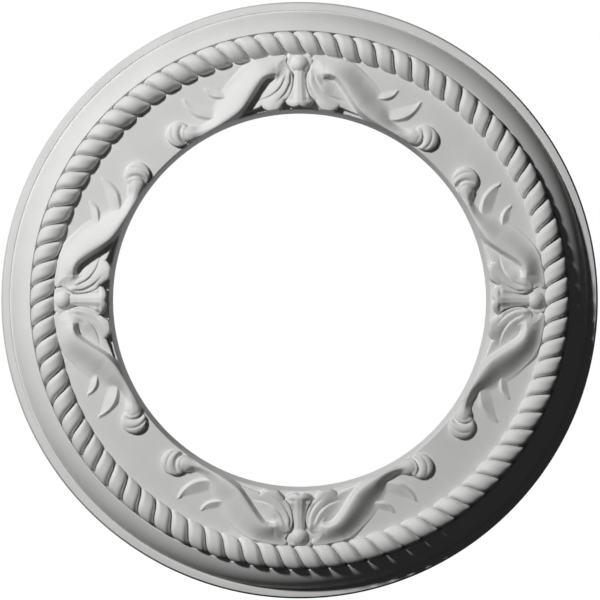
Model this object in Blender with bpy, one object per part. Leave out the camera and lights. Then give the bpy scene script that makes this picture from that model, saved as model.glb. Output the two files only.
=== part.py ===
"""Ceiling rose: one cast ring of primed foam with a rope moulding and eight acanthus leaves round its bore.

It hangs as fitted: its flat back lies on the ceiling at height zero, and the carved face looks down.
The view that the drawing's angles and radii belong to is the one straight up from below, with +X to the
right and +Y towards the bottom. Metres throughout.
"""

import math

import bmesh
import bpy
from mathutils import Vector

MM = 0.001

# Ring: overall sizes
outer_diameter = 304.8 * MM
bore_diameter = 190.5 * MM
field_height = 18.0 * MM  # from the ceiling to the flat field round the bore
bore_edge_ease = 0.5 * MM  # small easing where the field meets the bore wall

# Rope moulding
rope_middle_radius = 128.2 * MM
rope_half_width = 6.7 * MM
rope_tube_radius = 7.0 * MM
rope_sink = 1.3 * MM  # how far the rope's centre lies under the field
rope_lobes = 84
rope_lean = 2 / 3  # pitches that a strand moves along from one foot of the rope to the other
rope_valley = 2.0 * MM  # depth of the cleft between two strands
rope_flank = 0.2 * MM  # how far a strand's two flanks lie under the tube
strand_columns = 3  # columns to one strand
cleft_column = 2  # the one of them that runs down the cleft
rope_rows = 4
rope_end_angle = 74.0  # degrees from the crest to the last row on each side

# Outer mouldings
quirk_drop = 1.5 * MM  # how far the ovolo starts under the field, beside the rope
ovolo_foot_radius = 146.9 * MM
ovolo_start_slope = 24.0  # degrees off level beside the rope
ovolo_end_slope = 69.0  # degrees off level at the band
ovolo_steps = 4
band_height = 3.0 * MM
rim_round = 1.4 * MM

# Carving
bays = 4  # a bud with a leaf on each side, in each bay
leaf_relief = 7.8 * MM  # highest crest of the leaves over the field
bury = 1.0 * MM  # how far each carved form runs into the ring
eye_distance = 750.0 * MM  # the drawing's radii are as they look from this far off the field
drawn_bore = 190.5  # the drawing's radius at the bore's edge
drawn_rope = 243.5  # the drawing's radius at the rope's inner foot
drawn_bay = 90.0  # the drawing's angle for one bay
buried = -1  # in place of a height, for a point that lies inside the ring
crest_to_inner_edge = 0.7  # how high the roll's inner edge is, as a share of its crest
thorn_foot = 0.06  # height of a thorn's near edge
lobe_place = 0.62  # where the stem's lobes peak, as a share of its half width
stem_top = 232.0
stem_foot = 198.0
foot_bow = 2.4  # how far the lobes bulge over the bore at the stem's foot

# Mesh
shortest_edge = 0.2 * MM
sharp_edge = 38.0  # degrees between two faces that are shaded apart

bore_radius = bore_diameter / 2
outer_radius = outer_diameter / 2
rope_inner_radius = rope_middle_radius - rope_half_width
rope_outer_radius = rope_middle_radius + rope_half_width


def place(radius, angle, height):
    """World point at a radius, an angle in degrees as seen from below, and a height off the ceiling."""
    a = math.radians(angle)
    return Vector((radius * math.cos(a), -radius * math.sin(a), -height))


def carved(bay_angle, drawn_radius, share, line):
    """World point of the carving: angle from the bud's line, radius on the drawing, height as a share
    of the leaf relief (a share under zero is buried), and the angle of the bud's own line."""
    across = (drawn_radius - drawn_bore) / (drawn_rope - drawn_bore)
    height = leaf_relief * share if share >= 0 else -bury
    seen = bore_radius + across * (rope_inner_radius - bore_radius)
    radius = seen * (1 - max(height, 0) / eye_distance)
    angle = bay_angle * (360 / bays) / drawn_bay
    return place(radius, line + angle, field_height + height)


# Turned ring with the rope in one closed skin


def ring_skin():
    """The ring's mesh. Rows run round the profile, columns run round the ring."""
    bm = bmesh.new()
    pitch = 360 / rope_lobes
    fine = strand_columns

    def row(radius, height):
        return [bm.verts.new(place(radius, pitch * k, height)) for k in range(rope_lobes)]

    def rope_row(turn):
        lean = rope_lean * (turn / rope_end_angle + 1) / 2
        made = []
        for k in range(rope_lobes * fine):
            depth = rope_valley if k % fine == cleft_column else rope_flank
            tube = rope_tube_radius - depth
            radius = rope_middle_radius + tube * math.sin(math.radians(turn))
            height = field_height - rope_sink + tube * math.cos(math.radians(turn))
            made.append(bm.verts.new(place(radius, pitch * (k / fine + lean), height)))
        return made

    def strip(a, b):
        n = len(a)
        for k in range(n):
            bm.faces.new((a[k], a[(k + 1) % n], b[(k + 1) % n], b[k]))

    def widen(coarse, many, behind):
        n, m = len(coarse), len(many)
        for k in range(n):
            first, last = coarse[k], coarse[(k + 1) % n]
            f = [many[(fine * k + i - behind) % m] for i in range(fine + 1)]
            bm.faces.new((first, f[1], f[0]))
            bm.faces.new((first, last, f[2], f[1]))
            bm.faces.new((last, f[3], f[2]))

    top = field_height
    inner = [row(bore_radius, 0), row(bore_radius, top - bore_edge_ease)]
    inner.append(row(bore_radius + bore_edge_ease, top))
    inner.append(row(rope_inner_radius, top))
    turns = [rope_end_angle * (2 * i / rope_rows - 1) for i in range(rope_rows + 1)]
    ropes = [rope_row(turn) for turn in turns]

    ovolo_top = top - quirk_drop
    ovolo_run = ovolo_foot_radius - rope_outer_radius
    start, end = math.radians(ovolo_start_slope), math.radians(ovolo_end_slope)
    outer = []
    for i in range(ovolo_steps + 1):
        slope = start + (end - start) * i / ovolo_steps
        out = (math.sin(slope) - math.sin(start)) / (math.sin(end) - math.sin(start))
        fall = (math.cos(slope) - math.cos(start)) / (math.cos(end) - math.cos(start))
        outer.append(row(rope_outer_radius + ovolo_run * out, ovolo_top + (band_height - ovolo_top) * fall))
    outer.append(row(outer_radius - rim_round, band_height))
    outer.append(row(outer_radius, band_height - rim_round))
    outer.append(row(outer_radius, 0))

    for chain in (inner, ropes, outer):
        for a, b in zip(chain, chain[1:]):
            strip(a, b)
    widen(inner[-1], ropes[0], 0)
    widen(outer[0], ropes[-1], round(rope_lean * fine))
    strip(outer[-1], inner[0])
    bmesh.ops.recalc_face_normals(bm, faces=bm.faces)
    return bm


# Carved forms: each one is a closed shell that runs into the ring


def loft(bm, sections):
    """A closed shell through loops of points, with a cap on each end."""
    loops = [[bm.verts.new(p) for p in section] for section in sections]
    faces = []
    for a, b in zip(loops, loops[1:]):
        n = len(a)
        for k in range(n):
            faces.append(bm.faces.new((a[k], a[(k + 1) % n], b[(k + 1) % n], b[k])))
    faces.append(bm.faces.new(loops[0]))
    faces.append(bm.faces.new(loops[-1]))
    bmesh.ops.recalc_face_normals(bm, faces=faces)


def mix(a, b, t):
    return tuple(p + (q - p) * t for p, q in zip(a, b))


def leaf_body(bm, line, side):
    """The leaf's long roll: a broad slope that falls outwards and a steep inner side."""
    # outer edge, inner edge, crest's height, height of the standing outer edge
    stations = [
        ((2.7, 242.4), (3.4, 226.5), 0.80, 0.34),
        ((4.9, 243.8), (5.4, 226.4), 0.92, 0.44),
        ((8.0, 244.0), (7.2, 226.7), 1.00, 0.46),
        ((11.3, 242.6), (9.2, 226.3), 1.00, 0.42),
        ((14.1, 239.9), (10.9, 222.2), 0.96, 0.34),
        ((16.9, 234.1), (12.6, 216.0), 0.92, 0.22),
        ((19.3, 228.9), (14.3, 208.9), 0.93, 0.13),
        ((21.3, 224.2), (16.2, 202.3), 0.92, 0.08),
        ((22.9, 215.0), (18.6, 197.0), 0.88, 0.06),
        ((24.9, 207.5), (21.4, 193.6), 0.80, 0.05),
        ((26.6, 202.2), (24.4, 192.2), 0.64, 0.08),
        ((29.6, 202.0), (29.2, 191.1), 0.48, 0.15),
        ((34.6, 206.0), (34.6, 194.0), 0.44, 0.20),
    ]
    sections = []
    for outside, inside, crest, edge in stations:
        loop = []
        for across, rise in ((0.0, 0.0), (0.35, 0.55), (0.65, 0.92), (0.88, 1.0)):
            angle, radius = mix(outside, inside, across)
            loop.append(carved(side * angle, radius, edge + (crest - edge) * rise, line))
        loop.append(carved(side * inside[0], inside[1], crest * crest_to_inner_edge, line))
        loop.append(carved(side * inside[0], inside[1], buried, line))
        loop.append(carved(side * outside[0], outside[1], buried, line))
        sections.append(loop)
    loft(bm, sections)


def leaf_fan(bm, line, side):
    """Four fluted fronds between the stem and the roll, with a scalloped end over the bore."""
    # each line runs from the stem's neck to the bore side
    folds = [
        [(1.8, 230.5), (1.9, 221.0), (2.2, 214.0), (3.0, 206.5), (4.3, 199.6)],
        [(2.6, 230.5), (2.8, 221.0), (3.1, 213.5), (4.1, 205.0), (5.4, 196.0)],
        [(3.4, 230.5), (3.5, 220.8), (3.9, 213.2), (5.2, 204.5), (6.9, 195.3)],
        [(4.1, 230.5), (4.3, 220.6), (5.0, 212.6), (6.8, 204.6), (8.4, 194.2)],
        [(4.8, 230.5), (5.2, 220.4), (6.4, 212.3), (8.6, 205.6), (10.4, 194.6)],
        [(5.4, 230.5), (5.9, 220.2), (7.6, 212.8), (9.9, 206.6), (11.8, 197.4)],
        [(6.0, 228.8), (6.6, 221.8), (8.9, 216.0), (12.4, 208.9), (14.6, 197.0)],
        [(6.5, 229.0), (7.3, 223.2), (9.4, 218.8), (13.7, 213.4), (18.8, 198.2)],
    ]
    ridge = [0.80, 0.82, 0.88, 0.90, 0.74]
    groove = [0.74, 0.72, 0.76, 0.80, 0.68]
    edge = [0.66, 0.64, 0.64, 0.68, 0.60]
    heights = [edge, ridge, groove, ridge, ridge, groove, ridge, edge]
    sections = []
    for points, rises in zip(folds, heights):
        loop = [carved(side * a, r, h, line) for (a, r), h in zip(points, rises)]
        loop.append(carved(side * points[-1][0], points[-1][1], buried, line))
        loop.append(carved(side * points[0][0], points[0][1], buried, line))
        sections.append(loop)
    loft(bm, sections)


def thorn(bm, line, side, stations):
    """A pointed lobe of the leaf: a gentle face towards the bud and a steep one on the far side."""
    sections = []
    for near, ridge, far, rise in stations:
        loop = [
            carved(side * near[0], near[1], thorn_foot, line),
            carved(side * ridge[0], ridge[1], rise, line),
            carved(side * far[0], far[1], buried, line),
            carved(side * near[0], near[1], buried, line),
        ]
        sections.append(loop)
    loft(bm, sections)


def leaf_thorns(bm, line, side):
    small = [
        ((18.2, 222.0), (19.9, 210.0), (20.5, 208.0), 0.52),
        ((21.4, 225.5), (23.4, 218.6), (24.3, 217.6), 0.42),
        ((23.3, 231.0), (24.2, 227.3), (25.0, 227.0), 0.34),
        ((24.9, 235.6), (25.1, 234.6), (25.5, 235.2), 0.20),
    ]
    large = [
        ((21.2, 212.0), (23.2, 198.0), (24.0, 196.5), 0.56),
        ((24.4, 216.8), (27.6, 204.6), (28.6, 203.2), 0.50),
        ((26.9, 221.6), (29.8, 214.0), (30.9, 213.5), 0.46),
        ((29.0, 227.0), (30.8, 222.8), (31.8, 222.8), 0.40),
        ((31.0, 232.4), (31.4, 231.0), (31.9, 231.4), 0.22),
    ]
    thorn(bm, line, side, small)
    thorn(bm, line, side, large)


def dome(bm, line, middle, size, rises, around, turn=0.0):
    """A rounded boss: rings of points round its middle, each given as a share of its size and a height."""
    angle, radius = middle
    long, wide = size
    loops = []
    for share, height in [(rises[0][0], buried)] + rises:
        loop = []
        for k in range(around):
            a = math.radians(360 * k / around)
            x = long * share * math.cos(a)
            y = wide * share * math.sin(a)
            t = math.radians(turn)
            along = x * math.cos(t) - y * math.sin(t)
            out = x * math.sin(t) + y * math.cos(t)
            loop.append(carved(angle + math.degrees(along / radius), radius + out, height, line))
        loops.append(loop)
    loft(bm, loops)


def leaf_tip(bm, line, side):
    """The curled end of the leaf: a round boss with a smaller lobe laid on it."""
    boss = [(1.0, 0.16), (0.86, 0.42), (0.45, 0.54)]
    dome(bm, line, (side * 38.4, 205.6), (14.0, 14.0), boss, 10)
    lobe = [(1.0, 0.3), (0.8, 0.56), (0.35, 0.66)]
    dome(bm, line, (side * 35.0, 200.8), (9.0, 7.4), lobe, 8, side * 35.0)


def bud(bm, line):
    """The round bud and the forked stem under it."""
    ball = [(1.0, 0.2), (0.9, 0.52), (0.55, 0.72)]
    dome(bm, line, (0.0, 236.0), (9.8, 9.8), ball, 8)
    # radius, half width on the drawing, height of the edge, of the lobe and of the groove
    stations = [
        (stem_top, 3.4, 0.45, 0.58, 0.56),
        (216.0, 3.9, 0.52, 0.70, 0.62),
        (207.0, 6.2, 0.60, 0.86, 0.70),
        (201.0, 9.6, 0.70, 0.98, 0.76),
        (stem_foot, 10.6, 0.62, 0.96, 0.70),
    ]
    sections = []
    for radius, half, edge, lobe, groove in stations:
        wide = math.degrees(half / radius)
        bow = foot_bow * (stem_top - radius) / (stem_top - stem_foot)
        loop = [
            carved(-wide, radius, edge, line),
            carved(-wide * lobe_place, radius - bow, lobe, line),
            carved(0.0, radius, groove, line),
            carved(wide * lobe_place, radius - bow, lobe, line),
            carved(wide, radius, edge, line),
            carved(wide, radius, buried, line),
            carved(-wide, radius, buried, line),
        ]
        sections.append(loop)
    loft(bm, sections)


def carving():
    """All bays' carved forms as overlapping closed shells."""
    bm = bmesh.new()
    for bay in range(bays):
        line = 360 / bays * bay
        bud(bm, line)
        for side in (1, -1):
            leaf_body(bm, line, side)
            leaf_fan(bm, line, side)
            leaf_thorns(bm, line, side)
            leaf_tip(bm, line, side)
    return bm


# Scene


def clear_scene():
    for old in list(bpy.data.objects):
        bpy.data.objects.remove(old, do_unlink=True)


def primed_foam():
    """White factory primer on dense foam."""
    material = bpy.data.materials.new("primed_foam")
    material.use_nodes = True
    shader = material.node_tree.nodes["Principled BSDF"]
    shader.inputs["Base Color"].default_value = (0.8, 0.8, 0.79, 1)
    shader.inputs["Roughness"].default_value = 0.6
    shader.inputs["Metallic"].default_value = 0.0
    return material


def mesh_object(name, bm):
    mesh = bpy.data.meshes.new(name)
    bm.to_mesh(mesh)
    bm.free()
    made = bpy.data.objects.new(name, mesh)
    bpy.context.collection.objects.link(made)
    return made


def unite(base, added):
    """Joins the shells to the ring, and the shells to each other, into one solid."""
    union = base.modifiers.new("union", "BOOLEAN")
    union.operation = "UNION"
    union.solver = "EXACT"
    union.use_self = True
    union.object = added
    bpy.context.view_layer.update()
    depsgraph = bpy.context.evaluated_depsgraph_get()
    whole = bpy.data.meshes.new_from_object(base.evaluated_get(depsgraph))
    base.modifiers.clear()
    base.data = whole
    bpy.data.objects.remove(added, do_unlink=True)


def tidy(made):
    """Triangles with no needle edges, smooth across the turned faces and sharp at the carved edges."""
    bm = bmesh.new()
    bm.from_mesh(made.data)
    bmesh.ops.dissolve_degenerate(bm, dist=shortest_edge, edges=bm.edges)
    bmesh.ops.triangulate(bm, faces=bm.faces)
    for face in bm.faces:
        face.smooth = True
    for edge in bm.edges:
        edge.smooth = edge.calc_face_angle(0.0) < math.radians(sharp_edge)
    bm.to_mesh(made.data)
    bm.free()


clear_scene()
rose = mesh_object("ceiling_rose", ring_skin())
unite(rose, mesh_object("carving", carving()))
tidy(rose)
rose.data.materials.clear()
rose.data.materials.append(primed_foam())
print(rose.name, len(rose.data.polygons), "triangles")
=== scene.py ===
# %% [markdown]
# # A ceiling rose in white primed foam
# A ceiling rose is a ring that is glued to the ceiling round a light fitting. This one is cast in one piece: a
# thin outer band, a swelling ovolo, a twisted rope, and a flat field with four buds round the bore, each
# between two acanthus leaves. It is stored as it hangs, with its back at height zero and its face down, so the
# camera of this scene looks straight up. It could be sculpted by hand, but then no size could be read or
# changed later. So every surface below is worked out with numpy on a grid.

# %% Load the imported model
import math

import bpy
import numpy as np
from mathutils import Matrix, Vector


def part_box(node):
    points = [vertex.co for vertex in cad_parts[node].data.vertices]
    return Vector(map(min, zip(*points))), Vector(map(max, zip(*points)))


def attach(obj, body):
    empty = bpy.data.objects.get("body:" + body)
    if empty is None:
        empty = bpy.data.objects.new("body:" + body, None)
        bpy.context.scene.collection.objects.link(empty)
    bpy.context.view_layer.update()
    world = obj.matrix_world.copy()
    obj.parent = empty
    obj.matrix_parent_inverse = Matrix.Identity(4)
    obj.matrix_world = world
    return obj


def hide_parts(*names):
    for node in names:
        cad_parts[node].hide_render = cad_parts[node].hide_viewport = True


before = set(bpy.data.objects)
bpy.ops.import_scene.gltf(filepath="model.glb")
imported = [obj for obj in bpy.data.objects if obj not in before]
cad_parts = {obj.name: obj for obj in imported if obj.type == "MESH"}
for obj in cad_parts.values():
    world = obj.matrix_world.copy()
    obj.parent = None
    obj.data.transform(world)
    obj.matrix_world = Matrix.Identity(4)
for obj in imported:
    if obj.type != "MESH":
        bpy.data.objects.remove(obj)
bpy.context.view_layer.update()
low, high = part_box("ceiling_rose")
print("solid from", [round(v, 4) for v in low], "to", [round(v, 4) for v in high])

# %% [markdown]
# ## Sizes
# The solid gives the outside radius, and the other sizes are the ones that its maker's drawing would state.
# The carving is drawn in units of its own: what a straight photograph from below shows, with the bore's edge
# at 190.5 and the rope's inner foot at 243.5. A crest that is nearer to the eye looks further out, so a drawn
# radius is set back by its height before it is placed. The drawing could be made in millimetres instead, but
# then each point would have to be corrected for its height by hand.

# %% Sizes
MM = 0.001
outer_radius = (high[0] - low[0]) / 2
bore_radius = 95.25 * MM
field_height = 18.0 * MM
rope_middle = 128.2 * MM
rope_half_width = 6.7 * MM
rope_tube = 7.0 * MM
rope_sink = 1.3 * MM
rope_lobes = 84
ovolo_foot = 146.9 * MM
band_height = 3.0 * MM
bays = 4

drawn_bore, drawn_rope, drawn_outside = 190.5, 243.5, 298.1
drawn_eye = 1500.0
unit = outer_radius / drawn_outside
eye_distance = drawn_eye * unit
print("one drawn unit is", round(unit / MM, 4), "mm, the eye is", round(eye_distance, 3), "m away")


def place(radius, angle, height):
    """Points at a radius, an angle in radians as seen from below, and a height off the ceiling."""
    return np.stack([radius * np.cos(angle), -radius * np.sin(angle), -height], axis=-1)


def true_radius(drawn, height):
    """Where a drawn radius really is: the field's scale, then set back by the height over the field."""
    across = (drawn - drawn_bore) / (drawn_rope - drawn_bore)
    seen = bore_radius + across * (rope_middle - rope_half_width - bore_radius)
    return seen * (1 - (height - field_height) / (eye_distance - field_height))


# %% [markdown]
# ## From a grid of points to a mesh
# Each piece here is rows and columns of points. Blender could build it one vertex at a time with bmesh, but
# handing over whole arrays is much faster. One helper turns a grid into a mesh and closes it round
# the ring, or round its section, where asked. Rows run across the ring and columns round it, so the faces
# point away from the foam.

# %% Grid to mesh
def grid_piece(name, points, close_rows=False, close_columns=False):
    """A smooth mesh from an array of points with shape (rows, columns, 3)."""
    rows, columns = points.shape[:2]
    index = np.arange(rows * columns).reshape(rows, columns)
    down = np.concatenate([index, index[:1]], axis=0) if close_rows else index
    full = np.concatenate([down, down[:, :1]], axis=1) if close_columns else down
    quads = np.stack([full[:-1, :-1], full[1:, :-1], full[1:, 1:], full[:-1, 1:]], axis=-1).reshape(-1, 4)
    mesh = bpy.data.meshes.new(name)
    mesh.vertices.add(rows * columns)
    mesh.vertices.foreach_set("co", points.astype(np.float32).ravel())
    mesh.loops.add(quads.size)
    mesh.loops.foreach_set("vertex_index", quads.astype(np.int32).ravel())
    mesh.polygons.add(len(quads))
    mesh.polygons.foreach_set("loop_start", np.arange(0, quads.size, 4, dtype=np.int32))
    mesh.polygons.foreach_set("use_smooth", np.ones(len(quads), dtype=bool))
    mesh.update(calc_edges=True)
    mesh.validate()
    piece = bpy.data.objects.new(name, mesh)
    bpy.context.collection.objects.link(piece)
    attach(piece, "root")
    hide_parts("ceiling_rose")
    print(name, len(quads) * 2, "triangles")
    return piece


# %% [markdown]
# ## The turned ring
# Without its carving the rose is a turned form, as a plasterer runs it with a cut template. A Spin or Screw
# modifier could sweep such a profile, and a numpy sweep does the same with the seam already closed. The profile
# goes up the bore wall, across the field, into the groove at the rope's outer foot, down the convex ovolo, over
# the thin band, and down the rim's drafted edge to the flat back. Short arcs ease the edges, because a cast
# edge is never a knife's. The draft is what lets the mould come off, and it shows as a thin dark line.

# %% Profile of the ring
rope_inner = rope_middle - rope_half_width
rope_outer = rope_middle + rope_half_width
back_round = 0.6 * MM
field_gap = 0.3 * MM
rope_groove = 2.6 * MM
ovolo_top = field_height - 1.5 * MM
ovolo_slopes, ovolo_steps = (22.0, 67.0), 30
ovolo_quirk = 0.25 * MM
band_round = 0.4 * MM
rim_round, rim_draft = 0.3 * MM, 1.15 * MM
back_inset = 20 * MM


def arc(centre, radius, start, end, steps):
    """Points of a circle's arc between two angles in degrees, nought outwards and 90 down from the ceiling."""
    turn = np.radians(np.linspace(start, end, steps))
    return [(centre[0] + radius * c, centre[1] + radius * s) for c, s in zip(np.cos(turn), np.sin(turn))]


def bore_and_field():
    """Radius and height of each point from the back of the bore to the groove at the rope's outer foot."""
    points = [(bore_radius + back_round, 0.0)]
    points += arc((bore_radius + back_round, back_round), back_round, 260, 180, 5)
    points += [(bore_radius, field_height * t) for t in (0.3, 0.6, 0.9)]
    points += [(bore_radius + 0.2 * MM, field_height - 1.0 * MM)]
    points += [(bore_radius + 1.2 * MM, field_height - field_gap), (rope_inner, field_height - field_gap)]
    points += [(rope_middle + 2.8 * MM, field_height - 1.2 * MM)]
    points += [(rope_middle + 3.6 * MM, ovolo_top - rope_groove), (rope_outer - 0.5 * MM, ovolo_top - rope_groove)]
    return points + [(rope_outer - 0.2 * MM, ovolo_top - 0.3 * rope_groove)]


def ovolo():
    """A circle's arc, stretched to its box: out goes as the sine of the slope and down as its cosine."""
    slope = np.radians(np.linspace(*ovolo_slopes, ovolo_steps))
    out = (np.sin(slope) - np.sin(slope[0])) / (np.sin(slope[-1]) - np.sin(slope[0]))
    fall = (np.cos(slope) - np.cos(slope[0])) / (np.cos(slope[-1]) - np.cos(slope[0]))
    return list(zip(rope_outer + (ovolo_foot - rope_outer) * out, ovolo_top + (band_height - ovolo_top) * fall))


def band_and_back():
    """From the small quirk at the ovolo's foot over the band and the rim to the flat back."""
    quirk_floor = band_height - ovolo_quirk
    points = [(ovolo_foot + 0.35 * MM, quirk_floor), (ovolo_foot + 0.6 * MM, quirk_floor)]
    points += arc((ovolo_foot + 1.2 * MM, band_height - band_round), band_round, 180, 90, 5)
    rim_edge = outer_radius - rim_draft
    points += arc((rim_edge - rim_round, band_height - rim_round), rim_round, 90, 20, 7)
    points += [(rim_edge + 0.1 * MM, band_height - 0.6 * MM), (outer_radius - 0.05 * MM, 0.7 * MM)]
    points += arc((outer_radius - band_round, band_round), band_round, 0, -90, 4)
    return points + [(outer_radius - back_inset, 0.0), (bore_radius + back_inset, 0.0)]


profile = np.array(bore_and_field() + ovolo() + band_and_back())
print("profile of", len(profile), "points, down to", round(profile[:, 1].max() / MM, 2), "mm below the ceiling")

# %% Turned ring
ring_columns = 720
around = np.linspace(0, 2 * np.pi, ring_columns, endpoint=False)[None, :]
ring = grid_piece("ring_body", place(profile[:, :1], around, profile[:, 1:] + 0 * around), True, True)

# %% [markdown]
# ## The rope
# The rope is a tube bent round the ring, with strands that wind about it. An Array modifier on a curve could
# repeat one modelled strand, but its copies would meet in seams. Here one formula gives the whole rope. A point
# of the tube has a turn, the angle round the tube from its crest, and a share, the way across its strand. Each
# strand is a plump grain on a lower core. Its swell is a squared-off oval across the strand, and it fades
# towards both feet, so the grains have round ends and the core shows as a web between them. The strands lean
# as the turn grows, and they sweep further near the feet.

# %% Rope
rope_core_half_width = 3.8 * MM
rope_core_rise = 0.9 * MM
strand_lean = 0.72
foot_sweep, foot_turn, foot_limit = 0.14, 80.0, 104
strand_ends = (94.0, 84.0)
strand_steps, rows_over = 20, 46
hidden_turns = [150, 180, 210]


def rope_points():
    """Core plus swell * (tube - core), where swell = (1 - |2 share - 1|**4 - |turn / end|**5) ** 0.45."""
    turn = np.concatenate([np.linspace(-foot_limit, foot_limit, rows_over), hidden_turns])[:, None]
    strand, step = np.divmod(np.arange(rope_lobes * strand_steps)[None, :], strand_steps)
    share = (1 - np.cos(np.pi * step / strand_steps)) / 2
    end = np.where(turn < 0, *strand_ends)
    swell = np.clip(1 - np.abs(2 * share - 1) ** 4 - np.abs(turn / end) ** 5, 0, 1) ** 0.45
    slide = np.clip(turn, -foot_limit, foot_limit) / foot_turn
    lean = strand_lean * slide / 2 + foot_sweep * slide**3
    angle = 2 * np.pi / rope_lobes * (strand + share + lean)
    sine, cosine = np.sin(np.radians(turn)), np.cos(np.radians(turn))
    out = sine * (rope_core_half_width + (rope_tube - rope_core_half_width) * swell)
    rise = cosine * (rope_core_rise + (rope_tube - rope_core_rise) * swell)
    return place(rope_middle + out, angle, field_height - rope_sink + rise)


rope = grid_piece("rope", rope_points(), True, True)

# %% [markdown]
# ## Curves
# The carving is one height over the field at each point of the drawing. It could be painted as a height map,
# but a carver works from outlines, and so does this: smooth curves through a few drawn points give the edges.
# Coordinates are x across from the bud's line and y out from the ring's centre, in drawn units.

# %% Curves
def curve(points, steps=10):
    """A smooth curve through the points: each span is a cubic whose slopes follow its neighbours."""
    p = np.array(points, float)
    p = np.vstack([2 * p[0] - p[1], p, 2 * p[-1] - p[-2]])
    t = np.linspace(0, 1, steps, endpoint=False)[:, None]
    spans = []
    for a, b, c, d in zip(p, p[1:], p[2:], p[3:]):
        square, cube = 2 * a - 5 * b + 4 * c - d, 3 * b - a - 3 * c + d
        spans.append(0.5 * (2 * b + (c - a) * t + square * t**2 + cube * t**3))
    return np.vstack(spans + [p[-2:-1]])


def polar(points):
    """Drawn points given as degrees from the bud's line and a radius, as x and y."""
    p = np.array(points, float)
    a = np.radians(p[:, 0])
    return np.stack([p[:, 1] * np.sin(a), p[:, 1] * np.cos(a)], axis=-1)


# %% [markdown]
# ## Distances
# How far the chisel goes down depends on how far the point is from an edge. Blender can find the nearest
# surface with a BVH tree, but only point by point. These three work on every point at once: the distance to a
# line, whether a point is within an outline, and the two together as one signed depth.

# %% Distances
def nearest(x, y, line):
    """Distance to a line of points, and how far along it (nought to one) the nearest place is."""
    best = np.full(x.shape, np.inf)
    where = np.zeros(x.shape)
    lengths = np.hypot(*np.diff(line, axis=0).T)
    run = np.concatenate([[0], np.cumsum(lengths)]) / lengths.sum()
    for a, b, s0, s1 in zip(line, line[1:], run, run[1:]):
        d = b - a
        t = np.clip(((x - a[0]) * d[0] + (y - a[1]) * d[1]) / max(d @ d, 1e-12), 0, 1)
        gap = np.hypot(x - a[0] - t * d[0], y - a[1] - t * d[1])
        closer = gap < best
        best = np.where(closer, gap, best)
        where = np.where(closer, s0 + t * (s1 - s0), where)
    return best, where


def inside(x, y, outline):
    """True within a closed outline: a ray to the right crosses its sides an odd number of times."""
    odd = np.zeros(x.shape, bool)
    for a, b in zip(outline, np.roll(outline, -1, axis=0)):
        if a[1] == b[1]:
            continue
        crosses = (a[1] > y) != (b[1] > y)
        odd ^= crosses & (x < (b[0] - a[0]) * (y - a[1]) / (b[1] - a[1]) + a[0])
    return odd


def depth_inside(x, y, outline):
    """Distance to a closed outline, positive inside it and negative outside."""
    gap, _ = nearest(x, y, np.vstack([outline, outline[:1]]))
    return np.where(inside(x, y, outline), gap, -gap)


# %% [markdown]
# ## Blends
# A cast surface has no hard joins. A plain maximum of two heights would leave a crease between them, so the
# forms below are joined with a rounded maximum, and their edges follow an S curve or a quarter circle.

# %% Blends
def ease(value, low_end, high_end):
    """Nought below one limit, one above the other, and a smooth S between them."""
    t = np.clip((value - low_end) / (high_end - low_end), 0, 1)
    return t * t * (3 - 2 * t)


def over(a, b, blend):
    """The higher of two heights, rounded where they meet."""
    mix = np.clip(0.5 + 0.5 * (a - b) / blend, 0, 1)
    return b + (a - b) * mix + blend * mix * (1 - mix)


def shoulder(gap, size):
    """A quarter circle: nought at an edge, one from the given distance inwards."""
    t = np.clip(gap / size, 0, 1)
    return np.sqrt(np.clip(1 - (1 - t) ** 2, 0, 1))


print("halfway up an S:", ease(0.5, 0, 1), "and on a quarter circle:", round(float(shoulder(0.5, 1)), 3))

# %% [markdown]
# ## The leaf's roll: its drawing
# The leaf's body is a long roll. It starts beside the bud, runs under the rope, turns down to the bore and ends
# in the curled tip. It could be a tube along one curve, but its width and its section change all the way. So
# its outer edge and its inner edge are drawn, and tables give the crest, the edge's height, the crest's place
# across and the inner wall's slope by how far along the roll a point is.

# %% Drawing of the roll
roll_outer = curve(np.vstack([
    [(7.0, 219.0), (7.2, 224.0), (8.8, 229.4), (11.0, 233.8), (13.8, 238.4), (12.6, 242.4), (15.6, 245.2)],
    [(26.0, 244.4)],
    polar([(8.3, 245.2), (10.7, 244.4), (12.9, 242.0), (14.6, 238.6), (16.5, 234.1), (18.7, 229.2), (20.5, 223.9),
           (22.0, 218.6), (24.3, 212.5), (26.2, 205.8), (27.6, 202.0), (29.4, 200.4), (31.2, 201.6), (32.8, 205.2),
           (34.4, 207.6), (35.8, 206.6), (36.5, 203.6)]),
]))
roll_inner = curve(np.vstack([
    [(24.2, 226.6), (28.0, 226.0), (32.0, 224.9), (36.6, 222.2), (41.2, 216.8), (46.8, 208.4), (52.4, 199.4)],
    [(59.0, 190.2)],
    polar([(20.0, 195.2), (23.8, 192.4), (27.5, 191.0), (30.3, 190.5), (32.7, 190.7), (35.0, 192.0),
           (36.3, 195.4), (36.7, 200.0)]),
]))
roll_crest = ([0, 0.03, 0.07, 0.12, 0.29, 0.38, 0.46, 0.565, 0.668, 0.748, 0.805, 0.885, 1.0],
              [12.6, 13.8, 15.0, 15.1, 14.5, 14.3, 13.6, 12.0, 9.6, 8.2, 7.8, 8.4, 8.4])
roll_edge = ([0, 0.12, 0.34, 0.4, 0.44, 0.5, 0.55, 0.6, 0.65, 0.71, 0.84, 0.88, 1.0],
             [6.4, 5.2, 4.4, 3.2, 2.2, 1.2, 0.8, 0.6, 0.5, 0.4, 0.3, 0.8, 1.6])
roll_crest_place = ([0, 0.07, 0.2, 0.4, 0.7, 0.8, 1.0], [0.06, 0.1, 0.12, 0.08, 0.16, 0.4, 0.5])
wall_slope = ([0, 0.02, 0.05, 0.1, 1.0], [0.58, 1.1, 1.9, 2.5, 2.7])
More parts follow.
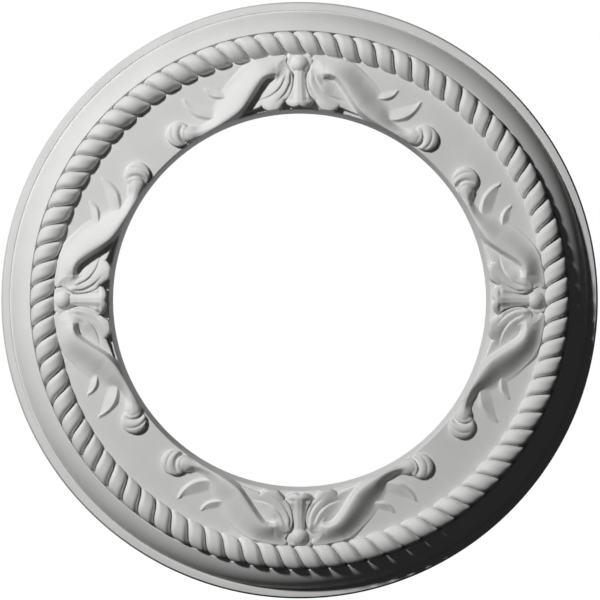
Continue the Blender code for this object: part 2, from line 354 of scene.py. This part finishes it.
print("the roll's crest is up to", round(max(roll_crest[1]) * unit / MM, 1), "mm over the field")

# %% [markdown]
# ## The leaf's roll: its surface
# The face is highest near the inner edge and falls outwards, mostly in an S curve with a little of a parabola.
# Beside the bud its outer edge stands clear of the field, and further on it runs out to nothing. The inner side
# is a steep wall that goes down to the fan. The closed end beside the bud is part of a cone, and the far end is
# a round knuckle against the curled tip. A loft between sections would need dozens of them to show all this.

# %% Surface of the roll
crest_parabola, crest_back = 0.25, 0.06
wall_start, wall_drop = 0.94, 0.59
knuckle_edge, knuckle_size = 0.35, 8.5


def leaf_roll(x, y):
    """Inside: edge + (crest - edge) * (1 - fall), fall being a quarter parabola and three quarters an S curve.
    Round the closed end and beyond the inner edge: the crest less a slope times the gap."""
    within = depth_inside(x, y, np.vstack([roll_outer, roll_inner[::-1]]))
    out_gap, along_out = nearest(x, y, roll_outer)
    in_gap, along = nearest(x, y, roll_inner)
    across = in_gap / (in_gap + out_gap + 1e-9)
    crest = np.interp(along, *roll_crest)
    edge = np.interp(along_out, *roll_edge)
    crest_place = np.interp(along, *roll_crest_place)
    out = np.clip((across - crest_place) / (1 - crest_place), 0, 1)
    back = np.clip((crest_place - across) / crest_place, 0, 1)
    fall = crest_parabola * out**2 + (1 - crest_parabola) * ease(out, 0, 0.9)
    face = edge + (crest - edge) * (1 - fall) - crest * crest_back * back**2
    round_end = ease(along, 0.78, 0.88)
    knuckle = crest * (knuckle_edge + (1 - knuckle_edge) * shoulder(within, knuckle_size))
    face = face + (knuckle - face) * round_end
    wall = crest * (wall_start - wall_drop * round_end) - np.interp(along, *wall_slope) * in_gap
    closed_end = (1 - ease(y, 224, 238)) * (1 - ease(x, 20, 30))
    face = face + (wall_start * crest - wall_slope[1][0] * in_gap - face) * closed_end
    inner_side = in_gap < out_gap
    face = face * np.where(inner_side, 1, ease(within, -0.9, 0.3))
    return np.where((within < 0) & inner_side, np.maximum(wall, 0), face)


# %% [markdown]
# ## The fan
# Between the stem and the roll the leaf spreads in soft fronds that overlap like shingles. Each frond could be
# a strip of its own, but on the casting they are one skin. So there is one surface, level beside the stem and
# falling to a trough along the roll, and three lines on it step down on the stem's side. The trough is shallow
# at its closed end and deeper at the bore, and the fan's edges are rounded down where they show.

# %% Drawing of the fan
fan_bottom = np.array([
    (15.0, 199.4), (17.6, 195.6), (20.2, 191.4), (22.6, 189.4), (26.0, 188.6), (29.8, 188.3), (33.5, 189.3),
    (36.8, 191.3), (39.1, 194.0), (39.9, 192.7), (46.4, 190.1), (54.1, 187.0), (61.7, 184.4), (66.0, 182.0),
])
fan_side = np.array([(72.0, 186.0), (60.0, 203.0), (47.0, 216.0), (38.0, 225.0), (26.0, 228.6), (16.0, 232.4)])
fan_left = curve([(13.4, 233.2), (11.0, 231.4), (8.6, 228.0), (7.0, 223.0), (6.8, 217.8), (8.2, 210.2),
                  (10.6, 204.2), (14.8, 199.4)])
trough = curve([(31.5, 220.8), (36.0, 216.6), (41.0, 210.4), (46.6, 202.0), (52.0, 193.4), (57.6, 185.6)])
trough_floor = ([0, 0.2, 0.6, 1.0], [5.2, 4.4, 3.8, 3.2])
trough_width = ([0, 0.25, 1.0], [15.0, 20.0, 24.0])
trough_round, bank_power = 1.5, 1.25
fan_level = 10.6
bottom_drop, bottom_round = 2.0, 4.0
left_drop, left_round = 2.0, 6.0
side_drop, side_width = 3.5, 10
shingles = [
    (curve([(9.6, 232.0), (10.2, 226.0), (10.4, 218.5), (14.4, 208.8), (20.4, 201.6), (26.5, 197.2)]), 2.2, 3.4),
    (curve([(14.6, 230.0), (15.8, 222.4), (20.8, 212.4), (29.4, 205.0), (39.0, 201.2), (50.5, 199.6)]), 1.7, 3.4),
    (curve([(21.0, 227.0), (22.6, 221.0), (26.6, 215.6)]), 0.8, 3.0),
]
print("fan with", len(shingles), "steps, level at", round(fan_level * unit / MM, 1), "mm over the field")


# %% Surface of the fan
def side_of(x, y, line):
    """Signed distance to a line: positive on the left of its direction."""
    gap, along = nearest(x, y, line)
    place_on = np.clip((along * (len(line) - 1)).astype(int), 0, len(line) - 2)
    start, step = line[place_on], np.diff(line, axis=0)[place_on]
    cross = step[..., 0] * (y - start[..., 1]) - step[..., 1] * (x - start[..., 0])
    return gap * np.where(cross >= 0, 1, -1), along


def shingle_step(x, y, line, drop, width):
    """A frond's lifted edge: nought on its own side, a full drop just past the line, then a slow return."""
    signed, along = side_of(x, y, line)
    past = -signed
    step = drop * ease(past, -1.0, 1.2) * np.exp(-np.clip(past - 1.2, 0, None) / width)
    ends = ease(along, 0.0, 0.25) * (1 - ease(along, 0.6, 1.0))
    return step * ends


def leaf_fan(x, y):
    """At a gap from the trough: floor + (level - floor) * sin(90 degrees * (gap / width)**1.25), less steps."""
    within = depth_inside(x, y, np.vstack([fan_bottom, fan_side, fan_left[1:-1]]))
    gap, along = nearest(x, y, trough)
    floor = np.interp(along, *trough_floor)
    bank = np.clip(np.hypot(gap, trough_round) / np.interp(along, *trough_width), 0, 1) ** bank_power
    height = floor + (fan_level - floor) * np.sin(np.pi / 2 * bank)
    for line, drop, width in shingles:
        height = height - shingle_step(x, y, line, drop, width)
    bottom_gap, _ = nearest(x, y, fan_bottom)
    height = height - bottom_drop * (1 - shoulder(bottom_gap, bottom_round)) * ease(height, 4.0, 9.0)
    left_gap, _ = nearest(x, y, fan_left)
    height = height - left_drop * (1 - shoulder(left_gap, left_round))
    side_gap, _ = nearest(x, y, fan_side)
    height = height - side_drop * (1 - ease(side_gap, 0, side_width))
    return height * ease(within, -1.0, 0.3)


# %% [markdown]
# ## Thorns
# Two thorns spring from the roll, as the leaf's lobes seen from the side. Each has a gentle face towards the
# bud, a ridge along its far side and a short steep bevel behind the ridge. Each could be a small mesh laid on
# the field, but its root would then show a seam. As a height it runs into the roll, and its ridge is lowest
# there.

# %% Thorns
thorn_step = 0.3
root_share, bevel_share = 0.55, 0.12
thorns = [
    dict(near=[(72.0, 206.4), (80.0, 208.0), (89.2, 210.0), (98.6, 211.3)],
         far=[(98.6, 211.3), (95.8, 206.0), (91.4, 202.2), (86.0, 200.2), (79.6, 199.4), (72.0, 199.4)],
         top=4.0, tip=2.0, bevel=2.6),
    dict(near=[(82.0, 188.0), (92.0, 191.6), (102.0, 194.6), (110.8, 196.8), (121.2, 200.2)],
         far=[(121.2, 200.2), (119.0, 194.4), (114.2, 187.8), (106.6, 182.0), (98.6, 179.2), (91.0, 178.2),
              (84.0, 178.6)],
         top=4.8, tip=2.2, bevel=3.0),
]


def thorn(x, y, form):
    """Rises from its near edge to the ridge and drops over the bevel: the lower of the two slopes."""
    near, far = curve(form["near"]), curve(form["far"])
    within = depth_inside(x, y, np.vstack([near, far[1:]]))
    near_gap, along = nearest(x, y, near)
    far_gap, _ = nearest(x, y, far)
    ridge = form["tip"] + (form["top"] - form["tip"]) * (1 - ease(along, 0.3, 1.0))
    ridge = ridge * (root_share + (1 - root_share) * ease(along, 0.05, 0.5))
    across = near_gap / (near_gap + np.maximum(far_gap - form["bevel"], 0) + 1e-9)
    face = thorn_step + (ridge - thorn_step) * across
    bevel = ridge * (bevel_share + (1 - bevel_share) * np.clip(far_gap / form["bevel"], 0, 1))
    return np.minimum(face, bevel) * ease(within, -0.5, 0.3)


print(len(thorns), "thorns on each leaf, up to", round(thorns[1]["top"] * unit / MM, 1), "mm high")

# %% [markdown]
# ## The curled tip
# The leaf ends in a curl that is seen from its side: a round boss, with the roll's knuckle lying against it. A
# sphere would stand too proud, so the boss is a disc with a short steep side and a low cap. The crease between
# boss and knuckle follows one circle and deepens towards the bore, and a shallow fold follows another.

# %% Tip
boss_at, boss_size, boss_side, boss_top = (123.1, 163.9), 12.4, 4.4, 8.0
lobe_at = (110.2, 166.0)
crease_size, crease_from, crease_to = 11.2, -84.0, 62.0
crease_outer_width, crease_inner_width = 2.6, 1.1
crease_depth, crease_more = 2.0, 2.6
fold_at, fold_size, fold_depth, fold_width = (113.8, 166.8), 16.5, 0.9, 1.3
tip_reach = 40


def curled_tip(x, y, roll):
    """The boss is side + (top - side) * (1 - (gap / size)**2)**0.7. A crease and a fold are cut along circles."""
    boss_gap = np.hypot(x - boss_at[0], y - boss_at[1])
    cap = np.clip(1 - (boss_gap / boss_size) ** 2, 0, 1) ** 0.7
    boss = boss_side * ease(boss_size - boss_gap, -0.6, 0.6) + (boss_top - boss_side) * cap
    gap = np.hypot(x - lobe_at[0], y - lobe_at[1])
    turn = np.degrees(np.arctan2(y - lobe_at[1], x - lobe_at[0]))
    reach = ease(turn, crease_from, crease_from + 25) * (1 - ease(turn, crease_to - 55, crease_to))
    depth = (crease_depth + crease_more * (1 - ease(turn, -70, 10))) * reach
    width = np.where(gap > crease_size, crease_outer_width, crease_inner_width)
    crease = depth * np.exp(-(((gap - crease_size) / width) ** 2))
    fold_gap = np.hypot(x - fold_at[0], y - fold_at[1]) - fold_size
    fold = fold_depth * np.exp(-((fold_gap / fold_width) ** 2)) * ease(turn, -85, -60) * (1 - ease(turn, -5, 40))
    whole = over(roll, boss, 0.6)
    cut = np.maximum(whole - (crease + fold) * ease(whole, 0.2, 2.0), 0)
    return np.where(boss_gap < tip_reach, cut, whole)


print("tip", round(boss_size * 2 * unit / MM, 1), "mm across and", round(boss_top * unit / MM, 1), "mm high")

# %% [markdown]
# ## Stem and bud
# The stem stands between the two leaves. It is soft and round in front with a flat facet on each side, spreads
# into a foot over the bore, and carries a round bud in a thin collar under the rope. It could be a revolved
# form cut in half, but the facets and the foot aren't turned shapes, so it is one more height with an outline.

# %% Stem and bud
bud_at, bud_size, bud_base = (0.0, 236.4), 9.3, 2.0
collar = curve([(-11.0, 246.0), (-13.2, 238.8), (-9.6, 231.4), (-5.0, 225.0), (0, 224), (5.0, 225.0),
                (9.6, 231.4), (13.2, 238.8), (11.0, 246.0)])
stem_half = [(4.2, 233.0), (5.2, 226.0), (6.2, 218.0), (7.4, 210.6), (9.6, 204.8), (12.0, 201.6), (14.6, 199.2),
             (12.4, 195.6), (9.0, 193.8), (4.4, 193.2), (0.0, 194.6)]
stem_rise = ([190, 194, 198, 202, 206, 210, 214, 218, 222, 226, 230],
             [14.4, 14.9, 15.1, 14.0, 12.4, 11.2, 10.4, 9.8, 9.2, 8.8, 8.4])
stem_front = ([194, 199, 206, 214, 222, 230], [3.6, 2.6, 2.2, 2.0, 1.8, 2.4])
facet_slope, facet_width = 0.62, 4.0
foot_drop, foot_size, foot_bend = 1.6, 4.0, 0.04
collar_edge, collar_rise, collar_round = 3.2, 1.4, 3.0


def stem_and_bud(x, y):
    """The stem's top less a flat facet on each side, the collar's low table, and a round bud."""
    right = curve(stem_half)
    within = depth_inside(x, y, np.vstack([right, right[-2::-1] * (-1, 1)]))
    facet = np.clip(np.abs(x) - np.interp(y, *stem_front), 0, facet_width) * facet_slope * ease(y, 197.0, 201.5)
    foot_round = foot_drop * (1 - shoulder(within, foot_size)) * (1 - ease(y, 200, 206))
    foot_crown = foot_bend * x**2 * (1 - ease(y, 197.0, 204.0))
    stem = (np.interp(y, *stem_rise) - facet - foot_round - foot_crown) * ease(within, -0.9, 0.3)
    table = depth_inside(x, y, collar)
    ledge = (collar_edge + collar_rise * shoulder(table, collar_round)) * ease(table, -0.6, 0.3)
    gap = np.hypot(x - bud_at[0], y - bud_at[1])
    ball = np.where(gap < bud_size, bud_base + np.sqrt(np.clip(bud_size**2 - gap**2, 0, None)), 0)
    return over(np.maximum(stem, ledge), ball, 0.5)


print("bud", round(bud_size * 2 * unit / MM, 1), "mm across")

# %% [markdown]
# ## One bay, four times
# A bay is a quarter of the field. Its columns are spaced by angle and its rows by drawn radius, closer than the
# photograph's own detail. A Displace modifier on a flat ring could give the same heights, but it would need a
# texture, and here each point is simply put where it belongs. The leaf is drawn once on the right of the bud's
# line and mirrored by taking the angle without its sign. On the real rose the clockwise leaf of each pair
# reaches a little further round, and leaf_slip is that share. The first rows go down the bore wall and the last
# ones under the rope, so no edge of a bay shows.

# %% Height of the carving
leaf_slip = 0.022
neck_at, neck_blend, plain_blend, thorn_blend = (16, 231), 2.5, 0.5, 0.9


def carving_height(x, y):
    """The higher of stem and leaf. The leaf is roll, fan and thorns under rounded maxima, with the tip cut in."""
    turn, reach = np.arctan2(np.abs(x), y), np.hypot(x, y)
    turn = turn / (1 + leaf_slip * np.sign(x))
    side, y_leaf = reach * np.sin(turn), reach * np.cos(turn)
    neck = 1 - ease(np.hypot(side - neck_at[0], y_leaf - neck_at[1]), 6, 15)
    leaf = over(leaf_roll(side, y_leaf), leaf_fan(side, y_leaf), plain_blend + neck_blend * neck)
    for form in thorns:
        leaf = over(leaf, thorn(side, y_leaf, form), thorn_blend)
    leaf = curled_tip(side, y_leaf, leaf)
    return np.maximum(leaf, stem_and_bud(x, y))


# %% Carved bays
bay_edge = 0.5 * MM
bay_sink = 0.01 * MM
bay_end = 247.5
bay_columns, bay_rows = 660, 118


def bay(number):
    """The bay's points: each has its drawn place, its height, and the true radius that the two give."""
    angle = np.radians(np.linspace(-45, 45, bay_columns))[None, :]
    drawn = np.linspace(drawn_bore + 0.4, bay_end, bay_rows)[:, None]
    height = carving_height(drawn * np.sin(angle), drawn * np.cos(angle)) * unit
    eased = np.clip(1 - (drawn - drawn_bore) * 0.5 * MM / bay_edge, 0, 1)
    height = field_height + height - bay_edge * (1 - np.sqrt(1 - eased**2))
    radius = np.maximum(true_radius(drawn, height), bore_radius - bay_sink)
    wall = np.array([1.8, 1.0])[:, None] * MM
    skirt_height = np.minimum(field_height - wall + 0 * angle, height[:1])
    radius = np.concatenate([np.full(skirt_height.shape, bore_radius - bay_sink), radius])
    height = np.concatenate([skirt_height, height])
    turned = 2 * np.pi / bays * number - angle
    return place(radius, turned + 0 * radius, height)[:, ::-1]


carvings = [grid_piece(f"carved_bay_{number + 1}", bay(number)) for number in range(bays)]

# %% [markdown]
# ## Primed foam: node helpers
# The foam comes out of its mould sealed with white primer. A photograph of primer could be laid on as an image,
# but it would show its seams and its resolution, so the finish is made from noise. These helpers each add one
# node to a node tree and give back its output, which keeps the group below short.

# %% Node helpers
def noise(tree, vector, scale, detail):
    """A soft random pattern, with its number of patches per metre and its finer layers."""
    made = tree.nodes.new("ShaderNodeTexNoise")
    made.inputs["Scale"].default_value = scale
    made.inputs["Detail"].default_value = detail
    tree.links.new(vector, made.inputs["Vector"])
    return made.outputs["Fac"]


def spread(tree, value, *limits):
    """Takes a value from one range to another: from the first two limits to the last two."""
    made = tree.nodes.new("ShaderNodeMapRange")
    tree.links.new(value, made.inputs["Value"])
    for name, number in zip(("From Min", "From Max", "To Min", "To Max"), limits):
        made.inputs[name].default_value = number
    return made.outputs["Result"]


def calculate(tree, kind, *values):
    """One sum of two values, each a plain number or the output of another node."""
    made = tree.nodes.new("ShaderNodeMath")
    made.operation = kind
    for socket, value in zip(made.inputs, values):
        if isinstance(value, float):
            socket.default_value = value
        else:
            tree.links.new(value, socket)
    return made.outputs[0]


# %% [markdown]
# ## Primed foam: the sprayed film
# The primer is matt and even, but not perfect: the sprayed film has a fine orange-peel grain, its white drifts
# a little from place to place, and a few burst bubbles leave pinholes, dented in the height, with painted shade
# darkening their colour. One node group makes these from the object's own coordinates, so they stay put on
# the part, and any other primed piece could use it again.

# %% Primer group
def primer_group():
    """Colour is the base times (1 + drift - 0.12 of a pinhole), that darkening being painted shade; the height is
    the grain less the pinholes.
    """
    tree = bpy.data.node_groups.new("sprayed_primer", "ShaderNodeTree")
    socket = tree.interface.new_socket("Base", in_out="INPUT", socket_type="NodeSocketColor")
    socket.default_value = (0.8, 0.8, 0.79, 1)
    for name, value in (("Drift", 0.03), ("Grain", 1.0), ("Pinholes", 1.0)):
        socket = tree.interface.new_socket(name, in_out="INPUT", socket_type="NodeSocketFloat")
        socket.default_value = value
    for name, kind in (("Color", "Color"), ("Roughness", "Float"), ("Height", "Float")):
        tree.interface.new_socket(name, in_out="OUTPUT", socket_type="NodeSocket" + kind)
    take, give = tree.nodes.new("NodeGroupInput"), tree.nodes.new("NodeGroupOutput")
    vector = tree.nodes.new("ShaderNodeTexCoord").outputs["Object"]

    cells = tree.nodes.new("ShaderNodeTexVoronoi")
    cells.inputs["Scale"].default_value = 170.0
    tree.links.new(vector, cells.inputs["Vector"])
    # The pinhole mask dents the height and also darkens the colour, which is painted shade in the pits.
    pinhole_and_shade = spread(tree, cells.outputs["Distance"], 0.05, 0.09, 1.0, 0.0)
    pinhole_and_shade = calculate(tree, "MULTIPLY", pinhole_and_shade, take.outputs["Pinholes"])
    drift = spread(tree, noise(tree, vector, 45.0, 3.0), 0.3, 0.7, -1.0, 1.0)
    drift = calculate(tree, "MULTIPLY", drift, take.outputs["Drift"])
    bright = calculate(tree, "ADD", drift, 1.0)
    # Painted shade: the colour is made 0.12 darker where the pinhole mask is.
    shade = calculate(tree, "SUBTRACT", bright, calculate(tree, "MULTIPLY", pinhole_and_shade, 0.12))
    tint = tree.nodes.new("ShaderNodeVectorMath")
    tint.operation = "SCALE"
    tree.links.new(take.outputs["Base"], tint.inputs[0])
    tree.links.new(shade, tint.inputs["Scale"])
    tree.links.new(tint.outputs[0], give.inputs["Color"])
    gloss = spread(tree, noise(tree, vector, 900.0, 2.0), 0.3, 0.7, 0.52, 0.68)
    tree.links.new(gloss, give.inputs["Roughness"])
    peel = calculate(tree, "MULTIPLY", noise(tree, vector, 1400.0, 3.0), take.outputs["Grain"])
    tree.links.new(calculate(tree, "SUBTRACT", peel, pinhole_and_shade), give.inputs["Height"])
    print("primer group of", len(tree.nodes), "nodes")
    return tree


# %% Foam material
def primed_foam():
    """The sprayed film on a plain matt shader, with its height as a bump of 0.06 mm."""
    material = bpy.data.materials.new("primed_foam")
    material.use_nodes = True
    nodes, links = material.node_tree.nodes, material.node_tree.links
    shader = nodes["Principled BSDF"]
    film = nodes.new("ShaderNodeGroup")
    film.node_tree = primer_group()
    bump = nodes.new("ShaderNodeBump")
    bump.inputs["Strength"].default_value = 0.35
    bump.inputs["Distance"].default_value = 0.00006
    links.new(film.outputs["Color"], shader.inputs["Base Color"])
    links.new(film.outputs["Roughness"], shader.inputs["Roughness"])
    links.new(film.outputs["Height"], bump.inputs["Height"])
    links.new(bump.outputs["Normal"], shader.inputs["Normal"])
    shader.inputs["Specular IOR Level"].default_value = 0.25
    return material


foam = primed_foam()
for piece in [ring, rope] + carvings:
    piece.data.materials.append(foam)
print("one finish on", 2 + len(carvings), "pieces")

# %% [markdown]
# ## Backdrop
# The photograph has a plain white ground that also lights the bore wall from behind. A small glowing disc 12 cm
# behind the bore, which no camera sees, does the same here. A pale surround that only the camera sees closes
# the picture on every side. A bright world would be simpler, but it would fill the carving's shadows, so the
# world is nearly black.

# %% Backdrop
disc_radius, disc_height, disc_strength = 0.14, 0.12, 0.6
surround_radius, surround_strength = 3.2, 1.0
world_strength = 0.022


def glow(name, strength):
    """A material that only gives off white light."""
    material = bpy.data.materials.new(name)
    material.use_nodes = True
    nodes = material.node_tree.nodes
    nodes.remove(nodes["Principled BSDF"])
    light = nodes.new("ShaderNodeEmission")
    light.inputs["Color"].default_value = (1, 1, 1, 1)
    light.inputs["Strength"].default_value = strength
    material.node_tree.links.new(light.outputs["Emission"], nodes["Material Output"].inputs["Surface"])
    return material


def backdrop(name, rows, strength, camera_only):
    """A turned surface of (radius, height over the ceiling) rows, with a glowing material."""
    turn = np.linspace(0, 2 * np.pi, 64, endpoint=False)
    count = len(turn)
    points = [(r * math.cos(a), r * math.sin(a), z) for r, z in rows for a in turn]
    sides = [(i * count + k, i * count + (k + 1) % count) for i in range(len(rows) - 1) for k in range(count)]
    faces = [(a, b, b + count, a + count) for a, b in sides]
    mesh = bpy.data.meshes.new(name)
    mesh.from_pydata(points, [], faces)
    made = bpy.data.objects.new(name, mesh)
    made.data.materials.append(glow(name, strength))
    bpy.context.collection.objects.link(made)
    if camera_only:
        made.visible_diffuse = False
        made.visible_glossy = False
        made.visible_transmission = False
        made.visible_shadow = False
    print(name, "glows at", strength)
    return made


sheet = backdrop("white_sheet", [(0.0, disc_height), (disc_radius, disc_height)], disc_strength, False)
sheet.visible_camera = False
pitch = np.linspace(0, math.pi, 24)
surround_rows = [(surround_radius * math.sin(a), surround_radius * math.cos(a)) for a in pitch]
backdrop("pale_surround", surround_rows, surround_strength, True)

world = bpy.data.worlds.new("studio")
world.use_nodes = True
world.node_tree.nodes["Background"].inputs["Color"].default_value = (1, 1, 1, 1)
world.node_tree.nodes["Background"].inputs["Strength"].default_value = world_strength
bpy.context.scene.world = world

# %% [markdown]
# ## Light
# The photograph is lit from the upper left, and the far side of each form goes nearly black. A ring of soft
# lamps would flatten the carving, so there is one small lamp, 44 degrees over the face. It is close enough to
# fade across the ring, as in the photograph, and nothing fills the shadows.

# %% Light
def lamp(name, position, watts, size):
    """A round lamp that faces the middle of the rose."""
    data = bpy.data.lights.new(name, "AREA")
    data.shape = "DISK"
    data.size = size
    data.energy = watts
    made = bpy.data.objects.new(name, data)
    bpy.context.collection.objects.link(made)
    made.location = position
    made.rotation_euler = (-made.location).to_track_quat("-Z", "Y").to_euler()
    print(name, "lamp of", watts, "W at", [round(v, 2) for v in position])
    return made


def towards(azimuth, elevation, distance):
    """A place in front of the rose, at an angle as the photograph shows it and an angle up off its face."""
    a, e = math.radians(azimuth), math.radians(elevation)
    return (distance * math.cos(e) * math.cos(a), -distance * math.cos(e) * math.sin(a), -distance * math.sin(e))


lamp("key", towards(142, 44, 1.5), 18.6, 0.12)

# %% [markdown]
# ## Camera
# The photograph looks straight up at the face. The bore wall's perspective says how far the eye is, about five
# radii, and the lens follows from that. The rose isn't quite in the middle of the picture, so the lens is
# shifted by less than a pixel. Moving the camera instead would tilt or slide the perspective.

# %% Camera
image_side = 600
rose_in_image = (299.6, 300.2)
camera = bpy.data.objects.new("camera", bpy.data.cameras.new("camera"))
bpy.context.collection.objects.link(camera)
camera.location = (0, 0, -eye_distance)
camera.rotation_euler = (math.pi, 0, 0)
camera.data.sensor_width = 36
camera.data.lens = camera.data.sensor_width * drawn_eye / image_side
camera.data.shift_x = (image_side / 2 - rose_in_image[0]) / image_side
camera.data.shift_y = (rose_in_image[1] - image_side / 2) / image_side
bpy.context.scene.camera = camera
bpy.context.scene.view_settings.view_transform = "Standard"
print("lens", camera.data.lens, "mm at", round(eye_distance, 3), "m")
